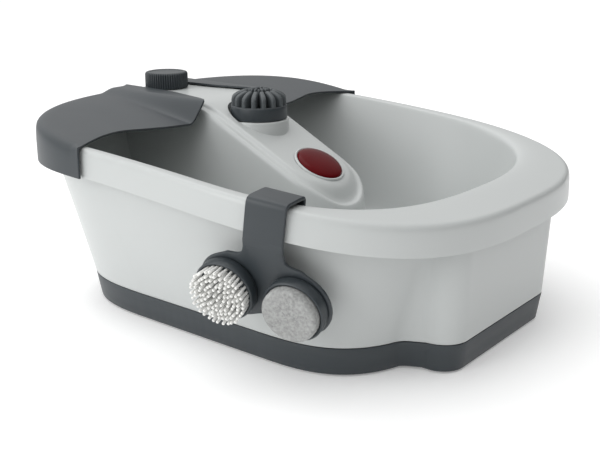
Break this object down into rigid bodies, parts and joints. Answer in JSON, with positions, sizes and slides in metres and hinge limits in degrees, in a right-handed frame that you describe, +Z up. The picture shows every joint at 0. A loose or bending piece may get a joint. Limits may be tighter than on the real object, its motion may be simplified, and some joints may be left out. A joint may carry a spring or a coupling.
{
  "type": "foot spa basin",
  "caption": "Oval tub for soaking feet, with a sloping console, red lamp lens, massage attachment, selector knob, lift-off splash guards and a hang-on clip for brush and pumice.",
  "frame": {"origin": "underside of the middle rubber pad, under the middle of the base", "axes": "+Z up, -Y towards the seated user, +X to the user's right"},
  "size_m": [0.3958, 0.4314, 0.1886],
  "materials": {
    "shell_light": "satin light grey moulding",
    "shell_dark": "satin dark grey moulding",
    "rubber_dark": "matt black rubber",
    "soft_grey": "soft dark grey elastomer",
    "mat_grey": "soft light grey elastomer",
    "steel": "zinc plated steel",
    "aluminium": "plain sheet",
    "black_plastic": "black moulding",
    "board_green": "green circuit board",
    "reflector_white": "white reflector",
    "lens_red": "deep red translucent plastic",
    "bristle_white": "white nylon bristles",
    "pumice": "porous grey pumice",
    "hose_clear": "soft PVC hose"
  },
  "bodies": {
    "spa": {"upper_basin": "shell_light", "outer_body": "shell_light", "base_pan": "shell_dark", "rubber_feet": "rubber_dark", "base_screws": "steel", "foot_mat_left": "mat_grey", "foot_mat_right": "mat_grey", "air_channel_left": "shell_light", "air_channel_right": "shell_light", "air_hose_left": "hose_clear", "air_hose_right": "hose_clear", "blower_housing": "black_plastic", "motor_bracket": "steel", "motor_body": "steel", "heater_plate": "aluminium", "thermostat": "black_plastic", "thermal_fuse": "aluminium", "selector_switch": "black_plastic", "control_board": "board_green", "knob_seal": "rubber_dark", "lamp_board": "board_green", "lamp_reflector": "reflector_white", "lens_seal": "rubber_dark", "red_lens": "lens_red", "cord_inlet": "rubber_dark", "terminal_block": "black_plastic"},
    "knob": {"control_knob": "shell_dark", "selector_shaft": "steel"},
    "guard_left": {"splash_guard_left": "shell_dark"},
    "guard_right": {"splash_guard_right": "shell_dark"},
    "massage_head": {"massage_cap": "shell_dark", "massage_fingers": "soft_grey"},
    "clip": {"accessory_clip": "shell_dark"},
    "brush": {"brush_cup": "shell_dark", "brush_bristles": "bristle_white"},
    "pumice": {"pumice_cup": "shell_dark", "pumice_stone": "pumice"},
    "rotor": {"rotor_shaft": "steel", "impeller": "black_plastic", "shaker_weight": "steel"}
  },
  "joints": [
    {"name": "knob_turn", "type": "hinge", "parent": "spa", "child": "knob", "pos_m": [0, 0.182, 0.18], "axis": [0, 0, 1], "range_deg": [0, 270]},
    {"name": "guard_left_lift", "type": "slide", "parent": "spa", "child": "guard_left", "axis": [0, 0, 1], "range_m": [0, 0.06]},
    {"name": "guard_right_lift", "type": "slide", "parent": "spa", "child": "guard_right", "axis": [0, 0, 1], "range_m": [0, 0.06]},
    {"name": "massage_head_lift", "type": "slide", "parent": "spa", "child": "massage_head", "axis": [0, 0, 1], "range_m": [0, 0.025]},
    {"name": "clip_lift", "type": "slide", "parent": "spa", "child": "clip", "axis": [-0.2145, -0.1544, 0.9644], "range_m": [0, 0.06]},
    {"name": "brush_pull", "type": "slide", "parent": "clip", "child": "brush", "axis": [-0.9546, -0.1758, -0.2405], "range_m": [0, 0.02]},
    {"name": "pumice_pull", "type": "slide", "parent": "clip", "child": "pumice", "axis": [-0.9546, -0.1758, -0.2405], "range_m": [0, 0.02]},
    {"name": "rotor_spin", "type": "hinge", "parent": "spa", "child": "rotor", "pos_m": [0, 0.105, 0.05], "axis": [0, 0, 1], "continuous": true}
  ]
}
